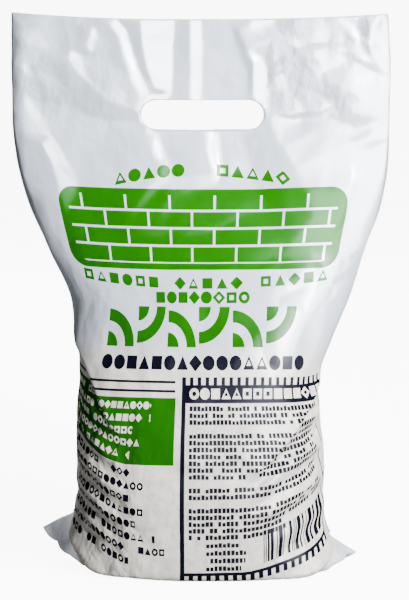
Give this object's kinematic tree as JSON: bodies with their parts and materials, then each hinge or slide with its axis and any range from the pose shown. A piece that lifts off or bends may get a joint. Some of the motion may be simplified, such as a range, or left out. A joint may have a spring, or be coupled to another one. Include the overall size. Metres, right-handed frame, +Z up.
{
  "type": "cement bag",
  "caption": "Upright white film bag of cement powder: a rounded filled body with flat corner ears, tapering to a flat top with a punched hand slot.",
  "frame": {"origin": "on the floor, under the middle of the bag", "axes": "+Z up towards the hand slot, the printed front faces -Y, +X to the right of the front"},
  "size_m": [0.2695, 0.148, 0.393],
  "materials": {
    "printed_film": "white polyethylene film, satin gloss, printed in green and near-black",
    "cement_powder": "loose white cement powder, matt"
  },
  "bodies": {
    "root": {"film_bag": "printed_film", "cement_fill": "cement_powder"}
  },
  "joints": []
}
